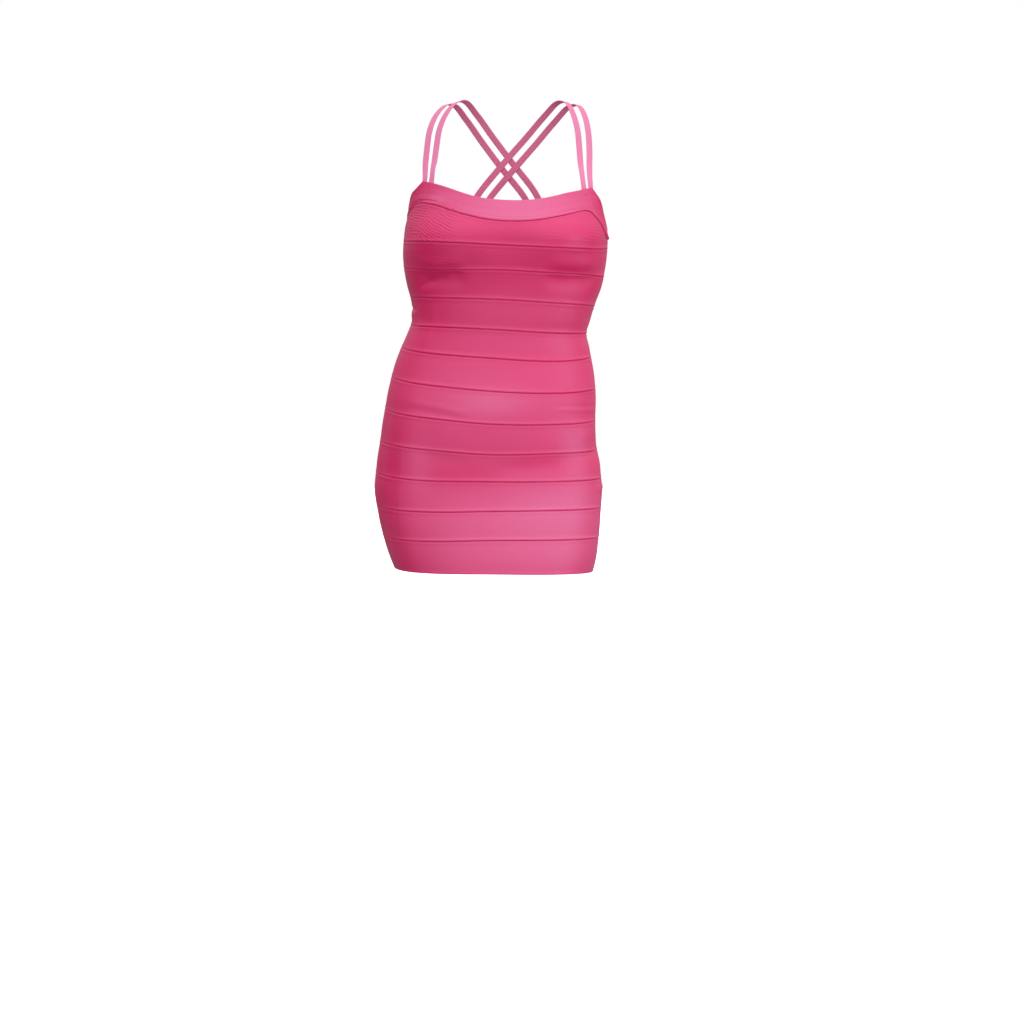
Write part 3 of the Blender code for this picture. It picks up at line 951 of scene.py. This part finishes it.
def on_top_band(angle, drop):
    """Points on the outside of the top band below its upper edge, and the way out there."""
    low, high = edge_heights(0, angle)
    height = high - drop
    heights, outs = section_rows(0, angle, SEWN_ROW_STEP)
    outside = slice(np.argmin(heights[:, 0]), np.argmax(heights[:, 0]) + 1)
    sections = zip(height, heights[outside].T, outs[outside].T)
    raised = np.array([np.interp(place, rows, out) for place, rows, out in sections])
    raised = raised + relief(angle, height, low, high)
    way = out_of_figure(angle, height)
    return on_figure(angle, height) + way * raised[:, None], way


def row_of_stitches(start, end, drop):
    """Starts, ends and outward directions of a row of stitches along the top band's edge."""
    angle = np.arange(start, end, ROW_ANGLE_STEP)
    points, outs = on_top_band(angle, np.full(len(angle), drop))
    arc = lengths_along(points)
    starts = np.arange(ROW_START, arc[-1] - STITCH_LENGTH, STITCH_PITCH)

    def at(values, where):
        return np.stack([np.interp(where, arc, axis) for axis in values.T], axis=-1)

    middles = unit(at(outs, starts + STITCH_LENGTH / 2))
    return at(points, starts), at(points, starts + STITCH_LENGTH), middles


def tack(angle):
    """Starts, ends and outward directions of the zigzag over a strap's end."""
    count = int(TACK_WIDTH / TACK_PITCH)
    across = (np.arange(count + 1) - count / 2) * TACK_PITCH
    drops = TACK_DROP + TACK_HEIGHT / 2 * (-1.0) ** np.arange(count + 1)
    points, outs = on_top_band(angle + across / ARC, drops)
    return points[:-1], points[1:], unit(outs[:-1] + outs[1:])


def make_stitches(name, groups, material):
    """Groups of stitches, joined: short threads whose ends go into the cloth."""
    starts, ends, outs = (np.concatenate(parts)[:, None, None, :] for parts in zip(*groups))
    t = STITCH_STATIONS[:, None, None]
    turn = (2 * pi * np.arange(STITCH_SIDES) / STITCH_SIDES)[:, None]
    along = (ends - starts) / 2
    side = unit(np.cross(along, outs))
    radius = THREAD / 2 * np.sqrt(STITCH_TIP - t**2)
    arch = THREAD * STITCH_LIFT - STITCH_SINK * t**4
    middle = (starts + ends) / 2 + along * t
    points = middle + outs * (arch + radius * np.cos(turn)) + side * radius * np.sin(turn)
    index = np.arange(points.size // 3).reshape(points.shape[:3])
    here, there = index[:, :-1], index[:, 1:]
    quads = np.stack((here, np.roll(here, -1, axis=2), np.roll(there, -1, axis=2), there), axis=-1)
    caps = list(index[:, 0, ::-1]) + list(index[:, -1])
    uvs = np.zeros(points.shape[:3] + (2,))
    uvs[..., 0] = STITCH_LENGTH * (t[..., 0] + 1) / 2
    uvs[..., 1] = THREAD * np.arange(STITCH_SIDES)
    stitches = make_mesh(name, points, quads, caps, uvs, material)
    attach(stitches, BODY)


# ------------------------------------------------ materials


def make_material(name, surface):
    """A material whose shader has the given values, with its node tree and its shader."""
    material = bpy.data.materials.new(name)
    material.use_nodes = True
    tree = material.node_tree
    shader = tree.nodes["Principled BSDF"]
    for socket, value in surface.items():
        shader.inputs[socket].default_value = value
    return material, tree, shader


def node(tree, kind, **settings):
    """A new node with its settings; those that name a socket set its value."""
    made = tree.nodes.new(kind)
    for key, value in settings.items():
        if hasattr(made, key):
            setattr(made, key, value)
        else:
            made.inputs[key].default_value = value
    return made


def feed(tree, socket, value):
    """Links an output to a socket, or sets the socket's value."""
    if isinstance(value, bpy.types.NodeSocket):
        tree.links.new(value, socket)
    else:
        socket.default_value = value


def maths(tree, operation, *values):
    """The output of a math node; its inputs are outputs or numbers."""
    made = node(tree, "ShaderNodeMath", operation=operation)
    for socket, value in zip(made.inputs, values):
        feed(tree, socket, value)
    return made.outputs[0]


def plus(tree, first, second):
    """The output of a sum."""
    return maths(tree, "ADD", first, second)


def times(tree, first, second):
    """The output of a product."""
    return maths(tree, "MULTIPLY", first, second)


def wave(tree, place, pitch):
    """The output of a sine along an output."""
    return maths(tree, "SINE", times(tree, place, 2 * pi / pitch))


def mixed(tree, share, first, second):
    """The output of a mix of two colours; each input is an output or a value."""
    made = node(tree, "ShaderNodeMix", data_type="RGBA")
    for number, value in zip(MIX_INPUTS, (share, first, second)):
        feed(tree, made.inputs[number], value)
    return made.outputs[MIX_RESULT]


def split_up(tree, where):
    """The outputs of the parts of an output that is a vector."""
    split = tree.nodes.new("ShaderNodeSeparateXYZ")
    tree.links.new(where, split.inputs[0])
    return split.outputs


def cloth_places(tree):
    """The outputs of the places on a piece in metres: both, along it and across it."""
    where = tree.nodes.new("ShaderNodeUVMap").outputs["UV"]
    split = split_up(tree, where)
    return where, split["X"], split["Y"]


def add_bump(tree, shader, height, depth):
    """Fine relief of a material's surface from an output."""
    bump = node(tree, "ShaderNodeBump", Distance=depth)
    tree.links.new(height, bump.inputs["Height"])
    tree.links.new(bump.outputs["Normal"], shader.inputs["Normal"])


def knit_material():
    """Dense rayon knit with fine courses along the band, with painted highlight and shade in its
    colour.
    """
    material, tree, shader = make_material("pink_knit_cloth", KNIT_SURFACE)
    where, along, up = cloth_places(tree)
    course = wave(tree, up, COURSE_PITCH)
    lean = times(tree, course, COURSE_LEAN)
    stitch = wave(tree, plus(tree, times(tree, along, 1 / WALE_PITCH), lean), 1.0)
    knit = plus(tree, times(tree, course, COURSE_RISE), times(tree, stitch, WALE_RISE))
    spaced = node(tree, "ShaderNodeMapping", Scale=STREAK_SCALE)
    tree.links.new(where, spaced.inputs["Vector"])
    streaks = node(tree, "ShaderNodeTexNoise", Scale=1.0, Detail=STREAK_DETAIL)
    tree.links.new(spaced.outputs["Vector"], streaks.inputs["Vector"])
    streak = maths(tree, "SUBTRACT", streaks.outputs["Fac"], STREAK_MIDDLE)
    shade = plus(tree, times(tree, knit, KNIT_SHADE), times(tree, streak, STREAK_SHADE))
    shaded_knit = mixed(tree, plus(tree, shade, LIGHT_SHARE), KNIT_DARK, KNIT_LIGHT)
    # paler colour where highlight is painted, deeper where shade is painted
    painted_light = node(tree, "ShaderNodeAttribute", attribute_name=PAINTED_LIGHT_LAYER).outputs["Fac"]
    tree.links.new(mixed(tree, painted_light, shaded_knit, KNIT_PAINTED_HIGHLIGHT), shader.inputs["Base Color"])
    add_bump(tree, shader, plus(tree, knit, times(tree, streak, STREAK_RISE)), KNIT_DEPTH)
    return material


def elastic_material():
    """Flat knitted elastic, matt, with small stitches along its ribs."""
    material, tree, shader = make_material("pale_elastic_cloth", ELASTIC_SURFACE)
    _, along, across = cloth_places(tree)
    course = wave(tree, along, ELASTIC_PITCH[0])
    wale = wave(tree, across, ELASTIC_PITCH[1])
    knit = times(tree, course, wale)
    share = plus(tree, times(tree, knit, ELASTIC_SHADE), LIGHT_SHARE)
    tree.links.new(mixed(tree, share, ELASTIC_DARK, ELASTIC_LIGHT), shader.inputs["Base Color"])
    add_bump(tree, shader, knit, ELASTIC_DEPTH)
    return material


def thread_material():
    """Sewing thread, twisted along its length."""
    material, tree, shader = make_material("pink_thread", THREAD_SURFACE)
    _, along, across = cloth_places(tree)
    twist = wave(tree, plus(tree, along, across), TWIST_PITCH)
    share = plus(tree, times(tree, twist, TWIST_SHADE), LIGHT_SHARE)
    tree.links.new(mixed(tree, share, KNIT_DARK, KNIT_LIGHT), shader.inputs["Base Color"])
    return material


# ------------------------------------------------ studio


def turn_to(thing, way):
    """Turns a camera or light to look along a direction."""
    thing.rotation_mode = "QUATERNION"
    thing.rotation_quaternion = way.to_track_quat("-Z", "Y")


def make_camera():
    """The camera, straight ahead of the dress and looking a little down."""
    data = bpy.data.cameras.new("camera")
    data.sensor_width = SENSOR
    data.lens = SENSOR * VIEW_DISTANCE / (PIXEL_AT_DRESS * PICTURE)
    camera = bpy.data.objects.new("camera", data)
    back = Vector((0, -cos(VIEW_ELEVATION), sin(VIEW_ELEVATION)))
    camera.location = VIEW_CENTRE + back * VIEW_DISTANCE
    turn_to(camera, -back)
    bpy.context.scene.collection.objects.link(camera)
    bpy.context.scene.camera = camera


def make_light(light):
    """A square soft light."""
    data = bpy.data.lights.new(light.name, "AREA")
    data.shape = "SQUARE"
    data.size = LIGHT_SIZE
    data.energy = light.energy
    lamp = bpy.data.objects.new(light.name, data)
    lamp.location = light.place
    turn_to(lamp, LIGHT_AIM - Vector(light.place))
    bpy.context.scene.collection.objects.link(lamp)


def make_world():
    """White behind the dress, and soft light round it, mostly from in front and above."""
    world = bpy.data.worlds.new("studio")
    bpy.context.scene.world = world
    world.use_nodes = True
    tree = world.node_tree
    tree.nodes.clear()
    white = node(tree, "ShaderNodeBackground", Color=WHITE, Strength=1.0)
    soft = node(tree, "ShaderNodeBackground", Color=WHITE)
    where = split_up(tree, tree.nodes.new("ShaderNodeTexCoord").outputs["Generated"])
    strength = 0.0
    for glow in GLOWS:
        facing = maths(tree, "MAXIMUM", times(tree, where[glow.axis], glow.sign), 0.0)
        strength = plus(tree, times(tree, facing, glow.strength), strength)
    tree.links.new(strength, soft.inputs["Strength"])
    path = tree.nodes.new("ShaderNodeLightPath")
    mix = tree.nodes.new("ShaderNodeMixShader")
    output = tree.nodes.new("ShaderNodeOutputWorld")
    tree.links.new(path.outputs["Is Camera Ray"], mix.inputs["Fac"])
    tree.links.new(soft.outputs[0], mix.inputs[1])
    tree.links.new(white.outputs[0], mix.inputs[2])
    tree.links.new(mix.outputs[0], output.inputs["Surface"])


def make_floor():
    """A plain white floor that fades into the white behind."""
    bpy.ops.mesh.primitive_circle_add(
        vertices=FLOOR_CORNERS, radius=FLOOR_RADIUS, fill_type="NGON", location=(0, 0, FLOOR_HEIGHT)
    )
    floor = bpy.context.object
    floor.name = "floor"
    floor.data.materials.append(make_material("floor_white", FLOOR_SURFACE)[0])
    floor.visible_diffuse = False
    floor.visible_glossy = False


# ------------------------------------------------ the whole


def main():
    """Makes the dress and its studio."""
    knit = knit_material()
    elastic = elastic_material()
    thread = thread_material()
    for band in range(HEM + 1):
        make_panel(band, "front", FINE if band in RIPPLED_BANDS else MEDIUM, knit)
        make_panel(band, "back", COARSE, knit)
    tacks = []
    for side_name, side, lift in (("left", 1, 0.0), ("right", -1, CROSSING_LIFT)):
        for strap_name, which in (("outer", 1), ("inner", -1)):
            tacks += make_strap(f"strap_{side_name}_{strap_name}", side, which, lift, elastic)
    edges = ((-180, NECKLINE[0].angle - ROW_CLEAR), (NECKLINE[-1].angle + ROW_CLEAR, 180))
    rows = [row_of_stitches(*edge, drop) for edge in edges for drop in ROW_DROPS]
    make_stitches("armhole_stitches", rows, thread)
    make_stitches("strap_stitches", [tack(angle) for angle in tacks], thread)
    make_camera()
    for light in LIGHTS:
        make_light(light)
    make_world()
    make_floor()
    bpy.context.scene.view_settings.view_transform = "Standard"


main()
